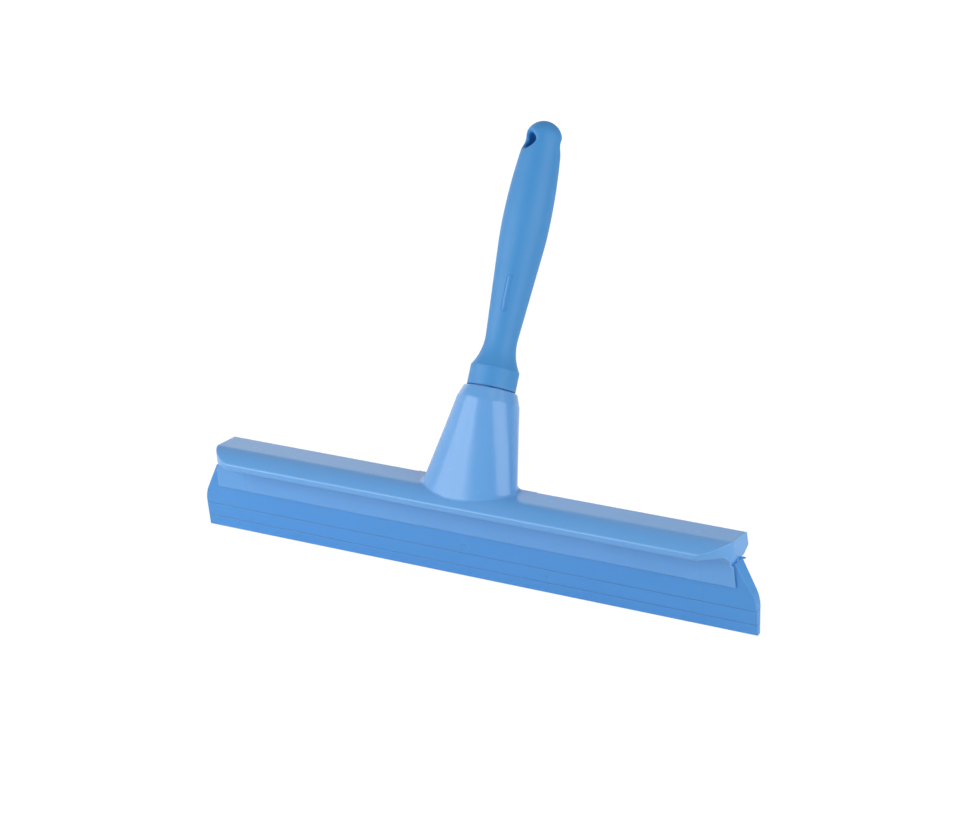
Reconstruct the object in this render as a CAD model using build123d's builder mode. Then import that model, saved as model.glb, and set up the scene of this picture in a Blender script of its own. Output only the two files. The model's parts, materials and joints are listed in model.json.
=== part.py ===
from build123d import *
from math import acos, asin, atan, cos, hypot, isclose, radians, sin, tan
import os

# Hygienic hand squeegee with a screw-in mini handle, in millimetres.
# X runs along the wiping edge, Z is up, and the front with its thin lip faces -Y.
# The origin is the middle of the blade's wiping edge.

# ---------------------------------------------------------------- driving dimensions

# wiping blade: a wedge that is the same on both faces
blade_length = 400.0
tip_thickness = 3.4
blade_taper = 0.15  # gain in thickness for each mm of height
shoulder_height = 17.5  # where the upright ends stop
shoulder_radius = 24.0
end_splay = 28.0  # lean of the sloping ends, in degrees
blade_top = 46.8  # underside of the head, where the soft blade begins
groove_heights = [7.1, 16.5]
groove_width = 0.7
groove_depth = 0.35
tongue_thickness = 6.0
tongue_height = 6.0
tongue_end_gap = 8.0  # the tongue stops this far inside the head's ends
gate_mark_diameter = 6.0
gate_mark_height = 21.5
gate_mark_depth = 0.15
gate_mark_line = 0.5

# head: bar section
end_overhang = 14.2  # the blade reaches this far past the bar's crest at each end
end_draft = 3.3  # the ends lean outwards below the crest, in degrees
crest_y = -3.0
crest_z = 60.7
ridge_y = 15.9
ridge_z = 59.0
rear_bottom_y = 16.9
rear_bottom_z = 50.2
neck_rear_y = 9.5
lip_margin = 1.74  # the lip stands this far in front of the socket's foot
lip_z = 55.9
lip_thickness = 3.7
lip_bead_run = 1.8
flange_underside_z = 53.2
underside_radius = 7.5
skirt_top_y = -6.6
skirt_bottom_z = 31.2
skirt_thickness = 1.2
lip_top_radius = 1.0
lip_bottom_radius = 0.6
rear_edge_radius = 1.2
corner_run_x = 17.0  # front corners of the flange are cut by an arc of this length
corner_run_y = 15.6  # and this depth
corner_radius = 22.5

# head: leaning socket
lean = 30.7  # degrees back from upright
mouth_y = 38.9
mouth_z = 113.2
mouth_wall = 5.2  # between the bore and the rim of the mouth
shoulder_cone_length = 8.0
shoulder_cone_gain = 3.0
socket_length = 77.5
flare = 12.65  # sideways half angle of the flare, in degrees
depth_taper = 1.6  # front-to-back half angle, narrowing downwards
mouth_edge = 0.6
shoulder_edge_radius = 6.0
root_fillet = 3.0
root_margin = 1.2  # rear edges stay sharp this far past the socket's foot, under the root's fillet
round_fade = 6.0

# screw fit: plain surfaces at the bottom of both threads
bore_radius = 12.0
bore_depth = 37.0
bore_lead_in = 1.1
thread_room = 1.3  # radial room between spigot and bore, which the screw thread fills
spigot_length = 33.0
spigot_chamfer = 1.5

# mini handle, measured up its axis from the bottom of the collar
seat_gap = 0.8  # height of the hard shoulder that stands on the socket's mouth
seat_land = 0.7  # width of the flat ring that the shoulder stands on
collar_overhang = 1.9
collar_height = 13.0
collar_edge = 0.5
waist_height = 31.0
waist_radius = 10.3
waist_arc_radius = 34.5
belly_height = 109.5
belly_radius = 15.3
belly_arc_radius = 255.0  # of the arc that leads up to the belly from the straight cone above the waist
shoulder_arc_radius = 390.0  # of the arc that leads on from the belly to the straight cone below the end
grip_length = 174.3
end_radius = 11.8
skin = 2.4  # least thickness of the soft overmould
core_belly_radius = 11.4
core_neck = (27.0, 50.0)  # stretch, in height, over which the core is thinnest
core_belly = (80.0, 135.0)  # stretch over which it is thickest
core_end = (24.3, 11.3)  # stretch round the hang hole, measured back from the end of the grip
core_tip_radius = 5.0
window_length = 23.5
window_width = 3.2
window_height = 60.0
window_turn = 15.0  # degrees from the front, towards +X
hole_from_end = 15.0
hole_radius = 5.5
hole_lining = 1.8
hole_flare = 2.2
hole_turn = -37.0

overrun = 5.0  # how far blanks and cutting shapes run past the finished form

# ---------------------------------------------------------------- derived values and planes

half_blade = blade_length / 2
bar_half_length = half_blade - end_overhang
mouth_radius = bore_radius + mouth_wall
shoulder_cone_radius = mouth_radius + shoulder_cone_gain
body_length = socket_length - shoulder_cone_length
foot_half_width = shoulder_cone_radius + body_length * tan(radians(flare))
foot_half_depth = shoulder_cone_radius - body_length * tan(radians(depth_taper))
root_half_width = foot_half_width + root_margin
lip_y = -foot_half_depth - lip_margin
seat_radius = bore_radius + bore_lead_in + seat_land
collar_radius = seat_radius + collar_overhang
hole_height = grip_length - hole_from_end
socket_direction = Vector(0, sin(radians(lean)), cos(radians(lean)))
mouth = Plane(origin=(0, mouth_y, mouth_z), x_dir=(1, 0, 0), z_dir=socket_direction)
socket_axis = Axis(mouth.origin, socket_direction)
collar_plane = mouth.offset(seat_gap)
handle_section = Plane(origin=collar_plane.origin, x_dir=(1, 0, 0), z_dir=-collar_plane.y_dir)


def blade_half(height):
    """Half thickness of the wedge-shaped blade at a height above its tip."""
    return (tip_thickness + blade_taper * height) / 2


def side_plane(height, turn):
    """Plane on the handle's axis that faces outwards, turned from the front towards +X by an angle."""
    outward = collar_plane.x_dir * sin(radians(turn)) - collar_plane.y_dir * cos(radians(turn))
    centre = collar_plane.origin + socket_direction * height
    return Plane(origin=centre, x_dir=socket_direction, z_dir=outward)


def rounded_waste(corner, before, after, radius):
    """Outline of what rounding a corner to a radius takes away; it stands slightly proud of the corner."""
    to_before = (before - corner).normalized()
    to_after = (after - corner).normalized()
    half_angle = radians(to_before.get_angle(to_after)) / 2
    reach = radius / tan(half_angle)
    bisector = (to_before + to_after).normalized()
    first = corner + to_before * reach
    middle = corner + bisector * (radius / sin(half_angle) - radius)
    last = corner + to_after * reach
    arc = ThreePointArc(first, middle, last)
    rest = Polyline(last, corner, first)
    return arc, rest


# ---------------------------------------------------------------- wiping blade

with BuildPart() as wiping_blade:
    with BuildSketch(Plane.YZ):
        with BuildLine():
            Polyline(
                (-blade_half(0), 0),
                (blade_half(0), 0),
                (blade_half(blade_top), blade_top),
                (-blade_half(blade_top), blade_top),
                close=True,
            )
        make_face()
    extrude(amount=half_blade, both=True)

    # outline of the ends: upright, a round shoulder, then sloping in to the bar
    splay = radians(end_splay)
    round_run = shoulder_radius * (1 - cos(splay))
    round_rise = shoulder_radius * sin(splay)
    slope_foot = (half_blade - round_run, shoulder_height + round_rise)
    slope_head = (slope_foot[0] - (blade_top - slope_foot[1]) * tan(splay), blade_top)
    with BuildSketch(Plane.XZ):
        with BuildLine():
            Line((0, 0), (half_blade, 0))
            Line((half_blade, 0), (half_blade, shoulder_height))
            RadiusArc((half_blade, shoulder_height), slope_foot, -shoulder_radius)
            Line(slope_foot, slope_head)
            Line(slope_head, (0, blade_top))
            Line((0, blade_top), (0, 0))
        make_face()
        mirror(about=Plane.YZ)
    extrude(amount=blade_half(blade_top) + overrun, both=True, mode=Mode.INTERSECT)

    # trim grooves across both faces, V-shaped
    groove_half_mouth = groove_width / 2 * (groove_depth + overrun) / groove_depth
    for height in groove_heights:
        for side in (-1, 1):
            face_y = side * blade_half(height)
            with BuildSketch(Plane.YZ):
                with BuildLine():
                    Polyline(
                        (face_y + side * overrun, height + groove_half_mouth),
                        (face_y - side * groove_depth, height),
                        (face_y + side * overrun, height - groove_half_mouth),
                        close=True,
                    )
                make_face()
            extrude(amount=half_blade + overrun, both=True, mode=Mode.SUBTRACT)

    # round mark of the injection gate, low on the front face
    gate_plane = Plane(
        origin=(0, -blade_half(gate_mark_height), gate_mark_height),
        x_dir=(1, 0, 0),
        z_dir=(0, -1, -blade_taper / 2),
    )
    with BuildSketch(gate_plane):
        Circle(gate_mark_diameter / 2)
        Circle(gate_mark_diameter / 2 - gate_mark_line, mode=Mode.SUBTRACT)
    extrude(amount=-gate_mark_depth, mode=Mode.SUBTRACT)

    # tongue that anchors the blade inside the head
    with BuildSketch(Plane.XY.offset(blade_top)):
        Rectangle(2 * (bar_half_length - tongue_end_gap), tongue_thickness)
    extrude(amount=tongue_height)

# ---------------------------------------------------------------- head

# the socket by itself: a short cone at the mouth, then a body that flares sideways
with BuildPart() as socket:
    with BuildSketch(mouth):
        Circle(mouth_radius)
    with BuildSketch(mouth.offset(-shoulder_cone_length)):
        Circle(shoulder_cone_radius)
    loft()
    with BuildSketch(mouth.offset(-shoulder_cone_length)):
        Circle(shoulder_cone_radius)
    with BuildSketch(mouth.offset(-socket_length)):
        Ellipse(foot_half_width, foot_half_depth)
    loft()

    # everything below the head's underside goes, which closes the socket behind the bar
    underside_slope = (rear_bottom_z - blade_top) / (rear_bottom_y - neck_rear_y)
    front_limit = mouth_y - socket_length
    rear_limit = mouth_y + socket_length
    with BuildSketch(Plane.YZ):
        with BuildLine():
            Polyline(
                (front_limit, 0),
                (front_limit, blade_top),
                (neck_rear_y, blade_top),
                (rear_limit, blade_top + underside_slope * (rear_limit - neck_rear_y)),
                (rear_limit, 0),
                close=True,
            )
        make_face()
    extrude(amount=bar_half_length, both=True, mode=Mode.SUBTRACT)

with BuildPart() as squeegee_head:
    # bar section: flat rear band, curved fall to the lip, skirt in front of the blade, slot for the tongue
    skirt_face_bottom = -blade_half(skirt_bottom_z)
    with BuildSketch(Plane.YZ):
        with BuildLine():
            rear_band = Line((ridge_y, ridge_z), (crest_y, crest_z))
            TangentArc((crest_y, crest_z), (lip_y, lip_z), tangent=rear_band % 1)
            Polyline(
                (lip_y, lip_z),
                (lip_y, lip_z - lip_thickness),
                (lip_y + lip_bead_run, flange_underside_z),
                (skirt_top_y - underside_radius, flange_underside_z),
            )
            RadiusArc(
                (skirt_top_y - underside_radius, flange_underside_z),
                (skirt_top_y, flange_underside_z - underside_radius),
                underside_radius,
            )
            Polyline(
                (skirt_top_y, flange_underside_z - underside_radius),
                (skirt_face_bottom - skirt_thickness, skirt_bottom_z),
                (skirt_face_bottom, skirt_bottom_z),
                (-blade_half(blade_top), blade_top),
                (neck_rear_y, blade_top),
                (rear_bottom_y, rear_bottom_z),
                (ridge_y, ridge_z),
            )
        make_face()
        lip_bottom, lip_top = vertices().sort_by(Axis.X)[:2].sort_by(Axis.Y)
        fillet(lip_top, lip_top_radius)
        fillet(lip_bottom, lip_bottom_radius)
    extrude(amount=bar_half_length + overrun, both=True)

    # front corners of the flange, rounded away in plan
    with BuildSketch(Plane.XY.offset(flange_underside_z - underside_radius)):
        corner_start = (bar_half_length - corner_run_x, lip_y)
        corner_end = (bar_half_length, lip_y + corner_run_y)
        with BuildLine():
            corner_arc = RadiusArc(corner_start, corner_end, -corner_radius)
            run_on = Vector(*corner_end) + (corner_arc % 1) * (overrun / (corner_arc % 1).X)
            Polyline(
                corner_end,
                run_on,
                (bar_half_length + overrun, lip_y - overrun),
                (bar_half_length - corner_run_x, lip_y - overrun),
                corner_start,
            )
        make_face()
        mirror(about=Plane.YZ)
    extrude(amount=crest_z, mode=Mode.SUBTRACT)

    # drafted ends
    for side in (-1, 1):
        end_plane = Plane(
            origin=(side * bar_half_length, 0, crest_z),
            z_dir=(side * cos(radians(end_draft)), 0, sin(radians(end_draft))),
        )
        split(bisect_by=end_plane, keep=Keep.BOTTOM)

    # rear edges rounded over along the bar, fading out where the socket's root begins
    rear_corners = [
        (Vector(ridge_y, ridge_z), Vector(crest_y, crest_z), Vector(rear_bottom_y, rear_bottom_z)),
        (Vector(rear_bottom_y, rear_bottom_z), Vector(ridge_y, ridge_z), Vector(neck_rear_y, blade_top)),
    ]
    for side in (-1, 1):
        round_start = Plane.YZ.offset(side * (root_half_width + round_fade))
        for corner, before, after in rear_corners:
            with BuildSketch(round_start) as waste:
                with BuildLine():
                    rounded_waste(corner, before, after, rear_edge_radius)
                make_face()
            extrude(amount=side * bar_half_length, mode=Mode.SUBTRACT)
            fade_tip = Vertex(side * root_half_width, corner.X, corner.Y)
            loft([waste.face(), fade_tip], mode=Mode.SUBTRACT)

    add(socket.part)

    # the root flows into the bar, and the socket's closed end behind the bar is rounded
    flared_face = faces().filter_by(GeomType.BSPLINE).sort_by(SortBy.AREA)[-1]
    fillet(flared_face.edges().filter_by(lambda e: e.center().Z < crest_z + root_fillet), root_fillet)

    # eased edge at the mouth, soft one below its short cone
    circles = edges().filter_by(GeomType.CIRCLE)
    chamfer(circles.filter_by(lambda e: isclose(e.radius, mouth_radius)), mouth_edge)
    circles = edges().filter_by(GeomType.CIRCLE)
    fillet(circles.filter_by(lambda e: isclose(e.radius, shoulder_cone_radius)), shoulder_edge_radius)

    # slot for the blade's tongue
    with BuildSketch(Plane.XY.offset(blade_top)):
        Rectangle(2 * (bar_half_length - tongue_end_gap), tongue_thickness)
    extrude(amount=tongue_height, mode=Mode.SUBTRACT)

    # blind bore with a lead-in at its mouth
    with BuildSketch(mouth):
        Circle(bore_radius)
    extrude(amount=-bore_depth, mode=Mode.SUBTRACT)
    bore_circles = edges().filter_by(GeomType.CIRCLE).filter_by(lambda e: isclose(e.radius, bore_radius))
    chamfer(bore_circles.sort_by(socket_axis)[-1], bore_lead_in)

# ---------------------------------------------------------------- mini handle

handle_axis = Axis(collar_plane.origin, socket_direction)
hole_plane = side_plane(hole_height, hole_turn)
window_plane = side_plane(window_height, window_turn)

# the whole handle as one body of revolution, from which the soft skin is what the core leaves
with BuildPart() as handle_envelope:
    flare_rise = waist_height - collar_height
    flare_foot = waist_radius + waist_arc_radius - (waist_arc_radius**2 - flare_rise**2) ** 0.5

    # a straight cone, tangent to the hollow arc at the waist and to the full arc below the belly
    belly_rise = belly_height - waist_height
    both_arcs = waist_arc_radius + belly_arc_radius
    centres_apart = both_arcs - (belly_radius - waist_radius)
    taper = asin(both_arcs / hypot(centres_apart, belly_rise)) - atan(centres_apart / belly_rise)
    cone_foot = (
        waist_radius + waist_arc_radius * (1 - cos(taper)),
        waist_height + waist_arc_radius * sin(taper),
    )
    cone_head = (
        belly_radius - belly_arc_radius * (1 - cos(taper)),
        belly_height - belly_arc_radius * sin(taper),
    )

    # past the belly an arc and a second straight cone, tangent to each other and to the round end
    end_centre = grip_length - end_radius
    end_run = end_centre - belly_height
    centres_aside = shoulder_arc_radius - belly_radius
    end_taper = atan(end_run / centres_aside) - acos(
        (shoulder_arc_radius - end_radius) / hypot(centres_aside, end_run)
    )
    end_cone_foot = (
        belly_radius - shoulder_arc_radius * (1 - cos(end_taper)),
        belly_height + shoulder_arc_radius * sin(end_taper),
    )
    end_cone_head = (end_radius * cos(end_taper), end_centre + end_radius * sin(end_taper))

    with BuildSketch(handle_section):
        with BuildLine():
            Polyline(
                (0, grip_length),
                (0, 0),
                (collar_radius, 0),
                (collar_radius, collar_height - collar_edge),
                (flare_foot, collar_height),
            )
            RadiusArc((flare_foot, collar_height), cone_foot, waist_arc_radius)
            Line(cone_foot, cone_head)
            RadiusArc(cone_head, (belly_radius, belly_height), -belly_arc_radius)
            RadiusArc((belly_radius, belly_height), end_cone_foot, -shoulder_arc_radius)
            Line(end_cone_foot, end_cone_head)
            RadiusArc(end_cone_head, (0, grip_length), -end_radius)
        make_face()
    revolve(axis=handle_axis)

# long narrow rib that comes up flush with the grip's surface
with BuildPart() as window_rib:
    with BuildSketch(window_plane):
        SlotOverall(window_length, window_width)
    extrude(amount=collar_radius)
    add(handle_envelope.part, mode=Mode.INTERSECT)

# rigid core: plain spigot, shoulder that stands on the socket's mouth, and the rod inside the grip
with BuildPart() as handle_core:
    with BuildSketch(handle_section):
        with BuildLine():
            Polyline(
                (0, 0),
                (collar_radius - skin, 0),
                (collar_radius - skin, collar_height - skin),
                (waist_radius - skin, core_neck[0]),
                (waist_radius - skin, core_neck[1]),
                (core_belly_radius, core_belly[0]),
                (core_belly_radius, core_belly[1]),
                (end_radius - skin, grip_length - core_end[0]),
                (end_radius - skin, grip_length - core_end[1]),
                (core_tip_radius, grip_length - 2 * skin),
                (0, grip_length - 2 * skin),
                close=True,
            )
        make_face()
    revolve(axis=handle_axis)
    add(window_rib.part)
    with BuildSketch(mouth):
        Circle(seat_radius)
    extrude(amount=seat_gap)
    with BuildSketch(mouth):
        Circle(bore_radius - thread_room)
    extrude(amount=-spigot_length)
    chamfer(faces().sort_by(socket_axis)[0].edges(), spigot_chamfer)
    with BuildSketch(hole_plane):
        Circle(hole_radius + hole_lining)
    extrude(amount=collar_radius, both=True, mode=Mode.SUBTRACT)

with BuildPart() as handle_grip:
    add(handle_envelope.part)
    with BuildSketch(hole_plane):
        Circle(hole_radius)
    extrude(amount=collar_radius, both=True, mode=Mode.SUBTRACT)
    hole_face = faces().filter_by(GeomType.CYLINDER).filter_by(lambda f: isclose(f.radius, hole_radius))
    fillet(hole_face.edges().filter_by(GeomType.LINE, reverse=True), hole_flare)
    add(handle_core.part, mode=Mode.SUBTRACT)

# ---------------------------------------------------------------- parts

os.makedirs("parts", exist_ok=True)
squeegee_head.part.label = "squeegee_head"
wiping_blade.part.label = "wiping_blade"
handle_core.part.label = "handle_core"
handle_grip.part.label = "handle_grip"
for piece in (squeegee_head, wiping_blade, handle_core, handle_grip):
    export_step(piece.part, f"parts/{piece.part.label}.step")
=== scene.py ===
import json
from math import cos, pi, radians, sin

import bmesh
import bpy
from mathutils import Matrix, Vector


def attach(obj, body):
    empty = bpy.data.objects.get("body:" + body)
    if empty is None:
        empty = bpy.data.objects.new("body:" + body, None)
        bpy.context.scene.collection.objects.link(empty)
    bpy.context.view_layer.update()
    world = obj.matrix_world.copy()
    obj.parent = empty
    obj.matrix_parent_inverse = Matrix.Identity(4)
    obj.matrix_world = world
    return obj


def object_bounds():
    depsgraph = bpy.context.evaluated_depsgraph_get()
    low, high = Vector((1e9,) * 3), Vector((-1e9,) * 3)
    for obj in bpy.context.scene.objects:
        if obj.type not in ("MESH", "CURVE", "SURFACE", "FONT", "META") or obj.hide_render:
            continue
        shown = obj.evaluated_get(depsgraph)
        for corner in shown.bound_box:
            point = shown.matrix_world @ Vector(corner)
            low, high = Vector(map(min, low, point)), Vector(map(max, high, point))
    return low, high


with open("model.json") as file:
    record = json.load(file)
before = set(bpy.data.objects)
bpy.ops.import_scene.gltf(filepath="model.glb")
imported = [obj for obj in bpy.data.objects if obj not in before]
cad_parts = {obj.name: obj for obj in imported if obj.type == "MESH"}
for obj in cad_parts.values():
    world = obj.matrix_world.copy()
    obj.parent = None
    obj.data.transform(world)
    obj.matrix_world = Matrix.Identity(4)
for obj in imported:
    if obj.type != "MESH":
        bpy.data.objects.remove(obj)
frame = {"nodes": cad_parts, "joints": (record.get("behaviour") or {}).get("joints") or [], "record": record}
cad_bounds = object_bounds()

# Looks of a hygienic hand squeegee with a screw-in mini handle, in metres.
# X runs along the wiping edge, Z is up, and the front with its thin lip faces -Y.

MM = 0.001
WHITE = (1, 1, 1, 1)

# ---------------------------------------------------------------- places taken from the frame

nodes = frame["nodes"]
axis = Vector(frame["joints"][0]["axis"]).normalized()
hang_mount = next(m for m in frame["record"]["mounts"] if m["name"] == "hang_hole")
hang_hole = Vector(hang_mount["pos_m"])  # it lies on the screw's axis
hang_axis = Vector(hang_mount["axis"]).normalized()
across = Vector((1, 0, 0))
aside = axis.cross(across)


def along(point):
    """How far a point is from the hang hole along the screw's axis."""
    return (point - hang_hole).dot(axis)


mouth = max(along(v.co) for v in nodes["squeegee_head"].data.vertices)
spigot_end = min(along(v.co) for v in nodes["handle_core"].data.vertices)


# ---------------------------------------------------------------- node helpers


def feed(tree, socket, value):
    """Links value to a socket if it is a socket itself, and sets it otherwise."""
    if isinstance(value, bpy.types.NodeSocket):
        tree.links.new(value, socket)
    else:
        socket.default_value = value


class Graph:
    """A material's node tree, with short calls to add and link nodes."""

    def __init__(self, name):
        self.material = bpy.data.materials.new(name)
        self.material.use_nodes = True
        self.tree = self.material.node_tree
        self.tree.nodes.clear()
        self.output = self.tree.nodes.new("ShaderNodeOutputMaterial")
        self.coordinates = self.tree.nodes.new("ShaderNodeTexCoord").outputs["Object"]

    def add(self, kind, **settings):
        node = self.tree.nodes.new(kind)
        for key, value in settings.items():
            setattr(node, key, value)
        return node

    def link(self, source, target):
        self.tree.links.new(source, target)

    def axis_value(self, index):
        """One of the object coordinates: 0, 1 or 2 for X, Y or Z, in metres."""
        node = self.add("ShaderNodeSeparateXYZ")
        self.link(self.coordinates, node.inputs[0])
        return node.outputs[index]

    def vector_math(self, operation, first, second, output="Vector"):
        node = self.add("ShaderNodeVectorMath", operation=operation)
        feed(self.tree, node.inputs[0], first)
        feed(self.tree, node.inputs[1], second)
        return node.outputs[output]

    def math(self, operation, first, second=0.0):
        node = self.add("ShaderNodeMath", operation=operation)
        feed(self.tree, node.inputs[0], first)
        feed(self.tree, node.inputs[1], second)
        return node.outputs[0]

    def stretched(self, scale):
        """Object coordinates scaled by a different amount along each axis."""
        node = self.add("ShaderNodeMapping")
        self.link(self.coordinates, node.inputs["Vector"])
        node.inputs["Scale"].default_value = scale
        return node.outputs["Vector"]

    def noise(self, scale, detail=2.0, roughness=0.5, vector=None):
        node = self.add("ShaderNodeTexNoise")
        self.link(vector or self.coordinates, node.inputs["Vector"])
        node.inputs["Scale"].default_value = scale
        node.inputs["Detail"].default_value = detail
        node.inputs["Roughness"].default_value = roughness
        return node.outputs["Fac"]

    def span(self, value, low, high, to_low=0.0, to_high=1.0):
        """Maps value from low..high onto to_low..to_high, clamped."""
        node = self.add("ShaderNodeMapRange")
        feed(self.tree, node.inputs["Value"], value)
        node.inputs["From Min"].default_value = low
        node.inputs["From Max"].default_value = high
        node.inputs["To Min"].default_value = to_low
        node.inputs["To Max"].default_value = to_high
        return node.outputs["Result"]

    def blend(self, factor, first, second):
        """Mixes two colours, each a socket or an RGBA tuple."""
        node = self.add("ShaderNodeMix", data_type="RGBA")
        feed(self.tree, node.inputs["Factor"], factor)
        feed(self.tree, node.inputs["A"], first)
        feed(self.tree, node.inputs["B"], second)
        return node.outputs["Result"]

    def clouded(self, tints, scale, roughness=0.5):
        """Colour that drifts between two tints in soft clouds."""
        return self.blend(self.span(self.noise(scale, 3, roughness), 0.35, 0.65), *tints)

    def bump(self, height, distance, strength, normal):
        node = self.add("ShaderNodeBump")
        node.inputs["Strength"].default_value = strength
        node.inputs["Distance"].default_value = distance
        self.link(height, node.inputs["Height"])
        self.link(normal, node.inputs["Normal"])
        return node.outputs["Normal"]

    def soft_edges(self, radius):
        """Normal that rounds sharp edges over by a radius."""
        node = self.add("ShaderNodeBevel", samples=6)
        node.inputs["Radius"].default_value = radius
        return node.outputs["Normal"]

    def finish(self, color, roughness, normal, ior):
        """Closes the tree with one shader."""
        shader = self.add("ShaderNodeBsdfPrincipled")
        self.link(color, shader.inputs["Base Color"])
        self.link(roughness, shader.inputs["Roughness"])
        self.link(normal, shader.inputs["Normal"])
        shader.inputs["IOR"].default_value = ior
        self.link(shader.outputs[0], self.output.inputs["Surface"])
        return self.material


# ---------------------------------------------------------------- materials

# the tints that each material drifts between, then the colours of its marks, painted highlights and painted
# shade, in linear RGBA
HEAD_TINTS = (0.138, 0.380, 0.775, 1), (0.126, 0.366, 0.757, 1)
HEAD_PAINTED_HIGHLIGHT = (0.42, 0.70, 1.0, 1)
HEAD_LINE = (0.05, 0.20, 0.48, 1)
BLADE_TINTS = (0.075, 0.308, 0.716, 1), (0.067, 0.294, 0.692, 1)
BLADE_PAINTED_HIGHLIGHT = (0.30, 0.62, 1.0, 1)
BLADE_LINE = (0.03, 0.16, 0.42, 1)
BLADE_GROOVE_SHADE = (0.035, 0.17, 0.42, 1)
BLADE_DIRT = (0.05, 0.13, 0.24, 1)
CORE_TINTS = (0.061, 0.287, 0.680, 1), (0.053, 0.273, 0.660, 1)
GRIP_TINTS = (0.059, 0.288, 0.645, 1), (0.051, 0.273, 0.620, 1)
WINDOW_SEAM_SHADE = (0.03, 0.17, 0.44, 1)
HOLE_PAINTED_SHADE = (0.006, 0.19, 0.56, 1)

POLYPROPYLENE_IOR = 1.49
ELASTOMER_IOR = 1.5

INSERT_LINE = 0.165  # the end inserts of the mould meet its middle this far from the centre
LINE_WIDTH = 0.4 * MM


def insert_lines(g):
    """1 on the fine witness lines across the part near its ends, 0 elsewhere."""
    x = g.axis_value(0)
    off = g.math("ABSOLUTE", g.math("SUBTRACT", g.math("ABSOLUTE", x), INSERT_LINE))
    return g.span(off, LINE_WIDTH / 2, LINE_WIDTH, 1.0, 0.0)


def specks(g, scale, share, size):
    """1 in small sparse specks: a share of cells, each speck a part of its cell's size."""
    node = g.add("ShaderNodeTexVoronoi")
    g.link(g.coordinates, node.inputs["Vector"])
    node.inputs["Scale"].default_value = scale
    pick = g.add("ShaderNodeSeparateColor")
    g.link(node.outputs["Color"], pick.inputs[0])
    chosen = g.math("LESS_THAN", pick.outputs[0], share)
    return g.math("MULTIPLY", chosen, g.span(node.outputs["Distance"], size * 0.6, size, 1.0, 0.0))


def painted_edge_highlights(g, rounded):
    """1 on sharp edges, where the rounded normal leaves the face's own, fading to 0 on open faces: where a
    painted highlight goes.
    """
    own = g.add("ShaderNodeNewGeometry").outputs["True Normal"]
    return g.span(g.vector_math("DOT_PRODUCT", rounded, own, "Value"), 0.88, 0.985, 1.0, 0.0)


LIP_TOP = 55.9 * MM
LIP_FRONT = -19.0 * MM  # the straight lip lies in front of this, the socket's root behind it
CORNER_START = 165.0 * MM  # past this the lip turns back at the flange's corners
LIP_TILT = 0.55  # how far up the rounded normal points where the lip's highlight is painted


def painted_lip_highlight(g, rounded):
    """1 on the flange's upper front edge, where the rounded normal tilts up, for a painted highlight along
    the lip, 0 elsewhere.
    """
    tilt = g.add("ShaderNodeSeparateXYZ")
    g.link(rounded, tilt.inputs[0])
    off = g.math("ABSOLUTE", g.math("SUBTRACT", tilt.outputs[2], LIP_TILT))
    turned = g.span(off, 0.1, 0.35, 1.0, 0.0)
    z = g.axis_value(2)
    above = g.span(z, LIP_TOP - 2 * MM, LIP_TOP - 1.5 * MM)
    below = g.span(z, LIP_TOP, LIP_TOP + MM, 1.0, 0.0)
    level = g.math("MULTIPLY", above, below)
    straight = g.span(g.axis_value(1), LIP_FRONT, LIP_FRONT + 0.2 * MM, 1.0, 0.0)
    corner = g.span(g.math("ABSOLUTE", g.axis_value(0)), CORNER_START, CORNER_START + MM)
    return g.math("MULTIPLY", g.math("MULTIPLY", turned, level), g.math("MAXIMUM", straight, corner))


SKIRT_TOP = 46.0 * MM
REAR_START = -4.0 * MM  # the insert lines show on the skirt and on the bar behind this, not on the lip


def head_plastic():
    """Glossy polypropylene: faint clouds from the melt's flow, hairline scratches, fine insert lines, and
    painted highlights on the lip and sharp edges.
    """
    g = Graph("head_plastic")
    color = g.clouded(HEAD_TINTS, 14, 0.55)
    scratches = g.span(g.noise(60, 4, 0.7, g.stretched((1.0, 14.0, 14.0))), 0.62, 0.72)
    fine = g.noise(420, 2, 0.6)
    wear = g.math("ADD", g.span(fine, 0.3, 0.7, 0.19, 0.25), g.math("MULTIPLY", scratches, 0.08))
    low = g.span(g.axis_value(2), SKIRT_TOP, SKIRT_TOP + MM, 1.0, 0.0)
    rear = g.span(g.axis_value(1), REAR_START, REAR_START + 2 * MM)
    line = g.math("MULTIPLY", insert_lines(g), g.math("MAXIMUM", low, rear))
    color = g.blend(g.math("MULTIPLY", line, 0.10), color, HEAD_LINE)
    height = g.math("ADD", g.math("MULTIPLY", fine, 0.12), g.noise(45, 2, 0.5))
    height = g.math("SUBTRACT", height, g.math("MULTIPLY", line, 0.4))
    rounded = g.soft_edges(1.0 * MM)
    # painted highlight: the lip's upper front edge and all sharp edges are paled as if they caught the light
    lip = g.math("MULTIPLY", painted_lip_highlight(g, rounded), 0.36)
    edges = g.math("MULTIPLY", painted_edge_highlights(g, rounded), 0.5)
    color = g.blend(g.math("MAXIMUM", lip, edges), color, HEAD_PAINTED_HIGHLIGHT)
    normal = g.bump(height, 0.05 * MM, 0.4, rounded)
    return g.finish(color, wear, normal, POLYPROPYLENE_IOR)


GROOVE_HEIGHTS = (7.1 * MM, 16.5 * MM)


def painted_groove_shade(g, height):
    """1 in the blade's groove at a height, where the groove is darkened with painted shade, 0 elsewhere."""
    off = g.math("ABSOLUTE", g.math("SUBTRACT", g.axis_value(2), height))
    return g.span(off, 0.25 * MM, 0.45 * MM, 1.0, 0.0)


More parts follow.
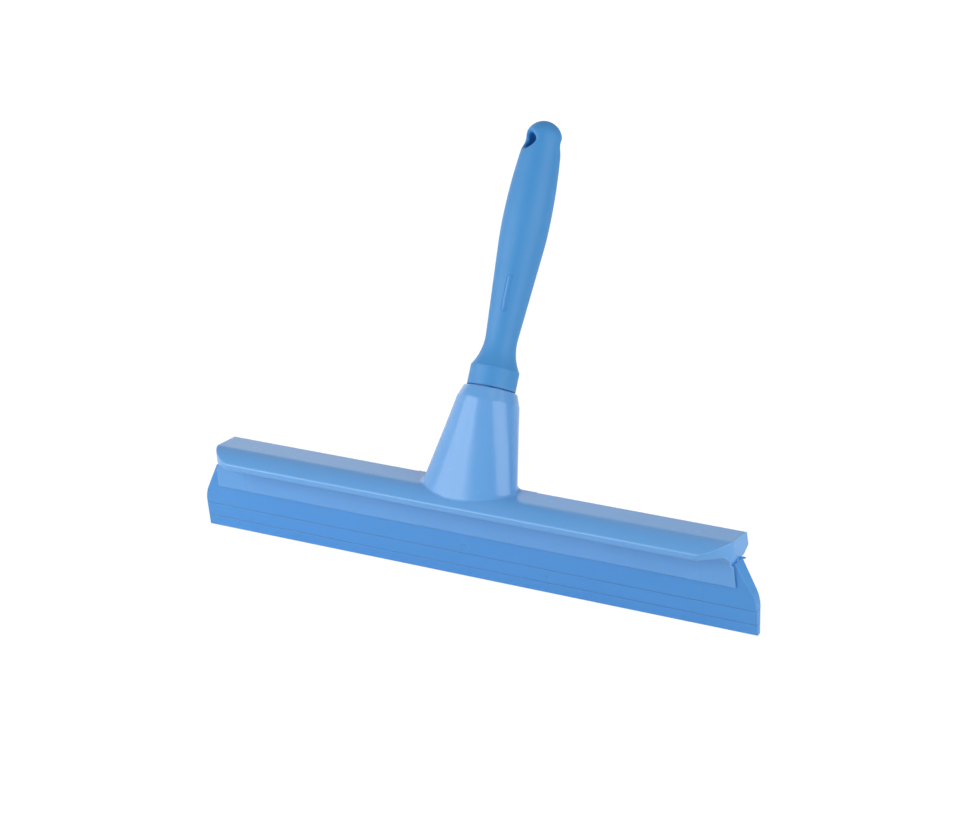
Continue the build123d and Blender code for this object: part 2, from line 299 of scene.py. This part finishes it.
def blade_rubber():
    """Satin elastomer of the blade: slightly cloudy, with specks of dirt and fine rubbing marks, painted
    shade in its grooves and painted highlights on its sharp edges.
    """
    g = Graph("blade_rubber")
    color = g.clouded(BLADE_TINTS, 9)
    rubbed = g.span(g.noise(70, 4, 0.65, g.stretched((0.35, 1.0, 2.2))), 0.58, 0.75)
    dirt = specks(g, 70, 0.10, 0.055)
    line = insert_lines(g)
    color = g.blend(g.math("MULTIPLY", dirt, 0.45), color, BLADE_DIRT)
    color = g.blend(g.math("MULTIPLY", line, 0.08), color, BLADE_LINE)
    # painted shade: the blade's grooves are darkened
    groove = g.math("MAXIMUM", *(painted_groove_shade(g, height) for height in GROOVE_HEIGHTS))
    color = g.blend(g.math("MULTIPLY", groove, 0.5), color, BLADE_GROOVE_SHADE)
    fine = g.noise(900, 2, 0.6)
    wear = g.math("ADD", g.span(fine, 0.3, 0.7, 0.35, 0.42), g.math("MULTIPLY", rubbed, 0.08))
    waves = g.noise(90, 3, 0.5, g.stretched((0.5, 1.0, 1.6)))
    height = g.math("ADD", waves, g.math("MULTIPLY", fine, 0.15))
    height = g.math("SUBTRACT", height, g.math("ADD", g.math("MULTIPLY", line, 0.3), dirt))
    rounded = g.soft_edges(0.8 * MM)
    # painted highlight: the blade's sharp edges are paled, except in the grooves
    edges = g.math("MAXIMUM", g.math("SUBTRACT", painted_edge_highlights(g, rounded), groove), 0.0)
    color = g.blend(g.math("MULTIPLY", edges, 0.4), color, BLADE_PAINTED_HIGHLIGHT)
    normal = g.bump(height, 0.05 * MM, 0.4, rounded)
    return g.finish(color, wear, normal, ELASTOMER_IOR)


WINDOW_DOWN = 99.3 * MM  # the window in the grip lies this far down the axis from the hang hole
WINDOW_TURN = radians(15)
WINDOW_LENGTH = 23.5 * MM
WINDOW_WIDTH = 3.2 * MM


def window_edge(g):
    """Distance outside the outline of the window in the grip, negative inside, in metres."""
    outward = across * sin(WINDOW_TURN) - aside * cos(WINDOW_TURN)
    offset = g.vector_math("SUBTRACT", g.coordinates, hang_hole - axis * WINDOW_DOWN)
    up = g.math("ABSOLUTE", g.vector_math("DOT_PRODUCT", offset, axis, "Value"))
    up = g.math("MAXIMUM", g.math("SUBTRACT", up, (WINDOW_LENGTH - WINDOW_WIDTH) / 2), 0.0)
    side = g.math("ABSOLUTE", g.vector_math("DOT_PRODUCT", offset, axis.cross(outward), "Value"))
    squares = g.math("ADD", g.math("POWER", up, 2.0), g.math("POWER", side, 2.0))
    distance = g.math("SQRT", squares)
    behind = g.span(g.vector_math("DOT_PRODUCT", offset, outward, "Value"), 0.0, MM, 1.0, 0.0)
    return g.math("ADD", g.math("SUBTRACT", distance, WINDOW_WIDTH / 2), behind)


def core_plastic():
    """Hard polypropylene of the handle's core, smooth where it comes through the soft grip, with painted
    shade just inside the window's outline.
    """
    g = Graph("core_plastic")
    color = g.clouded(CORE_TINTS, 30)
    fine = g.noise(500, 2, 0.6)
    edge = window_edge(g)
    # painted shade: the core darkens just inside the window's outline, where it meets the grip
    color = g.blend(g.span(edge, -0.35 * MM, -0.1 * MM, 0.0, 0.3), color, WINDOW_SEAM_SHADE)
    crown = g.bump(g.span(edge, -1.2 * MM, 0.0, 1.0, 0.0), 0.18 * MM, 1.0, g.soft_edges(0.25 * MM))
    normal = g.bump(fine, 0.03 * MM, 0.3, crown)
    return g.finish(color, g.span(fine, 0.3, 0.7, 0.27, 0.34), normal, POLYPROPYLENE_IOR)


HOLE_RIM = 7.5 * MM  # the hang hole is darkened with painted shade within this distance of its axis


def grip_rubber():
    """Soft-touch overmould of the grip: matte, with the fine grain of a spark-eroded mould, and painted
    shade inside the hang hole and round the window.
    """
    g = Graph("grip_rubber")
    color = g.clouded(GRIP_TINTS, 18)
    grain = g.noise(1500, 3, 0.7)
    offset = g.vector_math("SUBTRACT", g.coordinates, hang_hole)
    from_hole = g.vector_math("CROSS_PRODUCT", offset, hang_axis)
    from_hole = g.vector_math("LENGTH", from_hole, (0, 0, 0), "Value")
    inside = g.span(from_hole, HOLE_RIM - 0.9 * MM, HOLE_RIM, 1.0, 0.0)
    # painted shade: the inside of the hang hole is darkened
    color = g.blend(g.math("MULTIPLY", inside, 0.85), color, HOLE_PAINTED_SHADE)
    handled = g.span(g.noise(55, 3, 0.6), 0.5, 0.7)
    wear = g.math("SUBTRACT", g.span(grain, 0.3, 0.7, 0.47, 0.57), g.math("MULTIPLY", handled, 0.05))
    edge = window_edge(g)
    # painted shade: the grip darkens just outside the window's outline, at its seam with the core
    color = g.blend(g.span(edge, 0.15 * MM, 0.5 * MM, 0.4, 0.0), color, WINDOW_SEAM_SHADE)
    seam = g.bump(g.span(edge, 0.0, 0.7 * MM), 0.12 * MM, 1.0, g.soft_edges(0.3 * MM))
    normal = g.bump(grain, 0.08 * MM, 0.6, seam)
    return g.finish(color, wear, normal, ELASTOMER_IOR)


FLOOR_TINTS = (0.88, 0.88, 0.88, 1), (0.92, 0.92, 0.92, 1)
GLOW_NEAR = 1.11
GLOW_FAR = 1.25
GLOW_SHARE = 0.83  # the rest of what the camera sees of the floor is paper, which keeps the shadow
GLOSSY_SHARE = 0.75  # of that glow, the part that reflections on the object see


def floor_paper():
    """White paper floor that keeps the object's soft shadow and reads as white round it."""
    g = Graph("floor_paper")
    paper = g.add("ShaderNodeBsdfDiffuse")
    g.link(g.blend(g.noise(40, 2, 0.5), *FLOOR_TINTS), paper.inputs["Color"])
    away = g.vector_math("LENGTH", g.coordinates, (0, 0, 0), "Value")
    glow = g.add("ShaderNodeEmission")
    glow.inputs["Color"].default_value = WHITE
    g.link(g.span(away, 0.4, 1.2, GLOW_NEAR, GLOW_FAR), glow.inputs["Strength"])
    rays = g.add("ShaderNodeLightPath")
    reflected = g.math("MULTIPLY", rays.outputs["Is Glossy Ray"], GLOSSY_SHARE)
    seen = g.math("ADD", rays.outputs["Is Camera Ray"], reflected)
    mix = g.add("ShaderNodeMixShader")
    g.link(g.math("MULTIPLY", seen, GLOW_SHARE), mix.inputs["Fac"])
    g.link(paper.outputs[0], mix.inputs[1])
    g.link(glow.outputs[0], mix.inputs[2])
    g.link(mix.outputs[0], g.output.inputs["Surface"])
    return g.material


materials = {
    "squeegee_head": head_plastic(),
    "wiping_blade": blade_rubber(),
    "handle_core": core_plastic(),
    "handle_grip": grip_rubber(),
}

# ---------------------------------------------------------------- CAD nodes, with their materials

SMOOTH_ANGLE = radians(20)


def shade_across_seams(mesh):
    """Shading normals averaged by area over the faces that meet at a point, also across CAD borders."""
    places = [tuple(round(c / MM, 3) for c in vertex.co) for vertex in mesh.vertices]
    fans = {}
    for face in mesh.polygons:
        for vertex in face.vertices:
            fans.setdefault(places[vertex], []).append(face)
    normals = []
    for face in mesh.polygons:
        for vertex in face.vertices:
            near = [f for f in fans[places[vertex]] if f.normal.dot(face.normal) > cos(SMOOTH_ANGLE)]
            normals.append(sum((f.normal * f.area for f in near), Vector()).normalized())
    mesh.shade_smooth()
    mesh.normals_split_custom_set(normals)


for name, material in materials.items():
    mesh = nodes[name].data
    mesh.materials.clear()
    mesh.materials.append(material)
    shade_across_seams(mesh)

# ---------------------------------------------------------------- pieces that the CAD leaves out


def add_piece(name, bm, node, body):
    """Makes a mesh piece with the material of a CAD node, which moves with a body."""
    mesh = bpy.data.meshes.new(name)
    bmesh.ops.recalc_face_normals(bm, faces=bm.faces)
    bm.to_mesh(mesh)
    bm.free()
    mesh.materials.append(materials[node])
    mesh.shade_smooth()
    mesh.set_sharp_from_angle(angle=SMOOTH_ANGLE)
    piece = bpy.data.objects.new(name, mesh)
    bpy.context.scene.collection.objects.link(piece)
    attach(piece, body)


PITCH = 6.0 * MM
STEPS_PER_TURN = 48
RUN_OUT = 0.3  # turns over which the ridge grows from nothing at each end
RIDGE_ROOT = 3.0 * MM
RIDGE_CREST = 1.6 * MM


def thread(root_radius, crest_radius, top, bottom, phase):
    """Right-hand helical ridge of trapezium section between two places along the screw's axis."""
    bm = bmesh.new()
    turns = (top - bottom) / PITCH
    steps = round(turns * STEPS_PER_TURN)
    rings = []
    for i in range(steps + 1):
        turn = turns * i / steps
        angle = 2 * pi * (turn + phase)
        out = across * cos(angle) + aside * sin(angle)
        height = bottom + turn * PITCH
        grown = min(1.0, turn / RUN_OUT, (turns - turn) / RUN_OUT)
        crest = root_radius + (crest_radius - root_radius) * grown
        section = (
            (root_radius, -RIDGE_ROOT / 2),
            (crest, -RIDGE_CREST / 2),
            (crest, RIDGE_CREST / 2),
            (root_radius, RIDGE_ROOT / 2),
        )
        rings.append([bm.verts.new(hang_hole + out * r + axis * (height + h)) for r, h in section])
    for lower, upper in zip(rings, rings[1:]):
        for j in range(4):
            k = (j + 1) % 4
            bm.faces.new((lower[j], lower[k], upper[k], upper[j]))
    bm.faces.new(rings[0])
    bm.faces.new(reversed(rings[-1]))
    return bm


# radii of each ridge's root, just inside the wall that carries it, and of its crest
SPIGOT_RIDGE = (10.6 * MM, 11.8 * MM)
SOCKET_RIDGE = (12.05 * MM, 10.95 * MM)

spigot_top = mouth - 6 * MM
spigot_bottom = spigot_end + 4 * MM
socket_top = mouth - 3.5 * MM
socket_bottom = spigot_end - 1 * MM
half_pitch_apart = 0.5 - (spigot_bottom - socket_bottom) / PITCH

spigot_thread = thread(*SPIGOT_RIDGE, spigot_top, spigot_bottom, 0.0)
add_piece("spigot_thread", spigot_thread, "handle_core", "handle")
socket_thread = thread(*SOCKET_RIDGE, socket_top, socket_bottom, half_pitch_apart)
add_piece("socket_thread", socket_thread, "squeegee_head", "head")


def flash(corners, thickness):
    """Thin ragged flake of moulding flash from its outline as X, Y, Z points, all in millimetres."""
    bm = bmesh.new()
    lower = [bm.verts.new(Vector(corner) * MM) for corner in corners]
    upper = [bm.verts.new((Vector(corner) + Vector((0, 0, thickness))) * MM) for corner in corners]
    bm.faces.new(reversed(lower))
    bm.faces.new(upper)
    for i in range(len(corners)):
        j = (i + 1) % len(corners)
        bm.faces.new((lower[i], lower[j], upper[j], upper[i]))
    return bm


# flakes of soft blade, and one of the head, squeezed out of the mould where the blade's ends meet the head
BLADE_FLAKE = 0.7
HEAD_FLAKE = 1.0
right_flash = ((185.4, -3.0, 46.4), (187.6, -3.4, 46.3), (188.3, -1.2, 46.6), (187.5, -0.4, 46.5),
               (189.0, 1.6, 46.7), (188.2, 2.6, 46.6), (190.2, 4.6, 47.0), (188.6, 5.3, 46.9),
               (186.2, 5.0, 46.5), (184.9, 1.0, 46.4))
left_flash = ((-185.2, 3.0, 46.5), (-184.9, -2.6, 46.4), (-187.2, -3.4, 46.5), (-188.4, -2.2, 46.7),
              (-187.3, -0.8, 46.6), (-188.9, 1.2, 46.8), (-187.4, 2.8, 46.6))
head_flash = ((186.3, -1.6, 47.1), (187.3, -1.9, 47.0), (187.6, -0.6, 47.3), (186.6, 0.0, 47.2))
add_piece("blade_flash_right", flash(right_flash, BLADE_FLAKE), "wiping_blade", "head")
add_piece("blade_flash_left", flash(left_flash, BLADE_FLAKE), "wiping_blade", "head")
add_piece("head_flash", flash(head_flash, HEAD_FLAKE), "squeegee_head", "head")

# ---------------------------------------------------------------- stage, lights and camera

FLOOR_SIZE = 6.0
FLOOR_GAP = 0.2 * MM

CAMERA_AIM = Vector((-0.0104, 0.0417, 0.0980))
CAMERA_AZIMUTH = 30.68
CAMERA_ELEVATION = 22.73
CAMERA_DISTANCE = 1.6574
CAMERA_ROLL = -3.22
SENSOR_WIDTH = 36.0
FOCAL_LENGTH = 97.5

# name, azimuth and elevation in degrees, distance, width and height in metres, power in watts
SOFTBOXES = (
    ("key_softbox", -43, 20, 1.3, 1.05, 1.0, 10.8),
    ("key_edge_softbox", -17, 20, 1.3, 0.3, 1.0, 1.3),
    ("side_softbox", 80, 21, 1.3, 1.25, 0.95, 10.6),
    ("left_softbox", -78, 10, 0.9, 0.35, 0.8, 0.7),
    ("top_softbox", 95, 68, 1.3, 0.5, 0.5, 1.0),
    ("rear_softbox", 205, 0, 1.5, 1.0, 0.2, 4.5),
)
UNREFLECTED = "rear_softbox"  # it lights the back and leaves the reflections on the bar alone

BACKDROP_AZIMUTH = 232
BACKDROP_FADE = (0.6, 1.0)  # cosines of the angle off the backdrop's middle
CEILING_FADE = (0.22, 0.48)  # sines of the elevation
# strengths of the dim front, the backdrop and the ceiling
GLOSSY_ROOM = (0.28, 1.5, 0.5)
DIFFUSE_ROOM = (0.15, 0.42, 0.19)


def look(obj, place, target, roll=0.0):
    """Puts obj at place, with its -Z axis towards target, and rolls it about that axis."""
    turn = (Vector(target) - Vector(place)).to_track_quat("-Z", "Y").to_matrix().to_4x4()
    obj.matrix_world = Matrix.Translation(place) @ turn @ Matrix.Rotation(roll, 4, "Z")


def direction(azimuth, elevation):
    """Unit vector from the object, azimuth 0 to the front (-Y) and growing towards +X, in degrees."""
    a, e = radians(azimuth), radians(elevation)
    return Vector((sin(a) * cos(e), -cos(a) * cos(e), sin(e)))


def add_softbox(target, name, azimuth, elevation, distance, width, height, power):
    lamp = bpy.data.lights.new(name, "AREA")
    lamp.shape = "RECTANGLE"
    lamp.size = width
    lamp.size_y = height
    lamp.energy = power
    obj = bpy.data.objects.new(name, lamp)
    obj.visible_glossy = name != UNREFLECTED
    bpy.context.scene.collection.objects.link(obj)
    look(obj, target + direction(azimuth, elevation) * distance, target)


def add_floor():
    mesh = bpy.data.meshes.new("floor")
    bm = bmesh.new()
    bmesh.ops.create_grid(bm, x_segments=8, y_segments=8, size=FLOOR_SIZE / 2)
    bm.to_mesh(mesh)
    bm.free()
    floor = bpy.data.objects.new("floor", mesh)
    floor.location = (0, 0, cad_bounds[0][2] - FLOOR_GAP)
    bpy.context.scene.collection.objects.link(floor)
    mesh.materials.append(floor_paper())


def add_camera():
    lens = bpy.data.cameras.new("camera")
    lens.sensor_width = SENSOR_WIDTH
    lens.lens = FOCAL_LENGTH
    camera = bpy.data.objects.new("camera", lens)
    bpy.context.scene.collection.objects.link(camera)
    place = CAMERA_AIM + direction(CAMERA_AZIMUTH, CAMERA_ELEVATION) * CAMERA_DISTANCE
    look(camera, place, CAMERA_AIM, radians(CAMERA_ROLL))
    bpy.context.scene.camera = camera


def set_world():
    """White to the camera. To the object, a bright backdrop behind it and a dim room in front."""
    world = bpy.data.worlds.new("studio")
    bpy.context.scene.world = world
    world.use_nodes = True
    tree = world.node_tree
    tree.nodes.clear()
    where = tree.nodes.new("ShaderNodeTexCoord").outputs["Generated"]
    rays = tree.nodes.new("ShaderNodeLightPath")

    def ramp(value, fade, to_low, to_high):
        """Eases from to_low to to_high as value goes from one end of fade to the other."""
        node = tree.nodes.new("ShaderNodeMapRange")
        node.interpolation_type = "SMOOTHSTEP"
        sources = {"From Min": fade[0], "From Max": fade[1], "To Min": to_low, "To Max": to_high}
        feed(tree, node.inputs["Value"], value)
        for name, source in sources.items():
            feed(tree, node.inputs[name], source)
        return node.outputs["Result"]

    def background(strength):
        node = tree.nodes.new("ShaderNodeBackground")
        node.inputs["Color"].default_value = WHITE
        feed(tree, node.inputs["Strength"], strength)
        return node.outputs[0]

    def room(front, backdrop, ceiling):
        facing = tree.nodes.new("ShaderNodeVectorMath")
        facing.operation = "DOT_PRODUCT"
        feed(tree, facing.inputs[0], where)
        feed(tree, facing.inputs[1], direction(BACKDROP_AZIMUTH, 0))
        height = tree.nodes.new("ShaderNodeSeparateXYZ")
        feed(tree, height.inputs[0], where)
        walls = ramp(facing.outputs["Value"], BACKDROP_FADE, front, backdrop)
        return background(ramp(height.outputs[2], CEILING_FADE, walls, ceiling))

    def either(ray, yes, no):
        mix = tree.nodes.new("ShaderNodeMixShader")
        for socket, source in zip(mix.inputs, (rays.outputs[ray], no, yes)):
            feed(tree, socket, source)
        return mix.outputs[0]

    for_object = either("Is Glossy Ray", room(*GLOSSY_ROOM), room(*DIFFUSE_ROOM))
    shown = either("Is Camera Ray", background(1.0), for_object)
    output = tree.nodes.new("ShaderNodeOutputWorld")
    feed(tree, output.inputs["Surface"], shown)


centre = (Vector(cad_bounds[0]) + Vector(cad_bounds[1])) / 2
add_floor()
add_camera()
set_world()
for softbox in SOFTBOXES:
    add_softbox(centre, *softbox)
bpy.context.scene.view_settings.view_transform = "Standard"
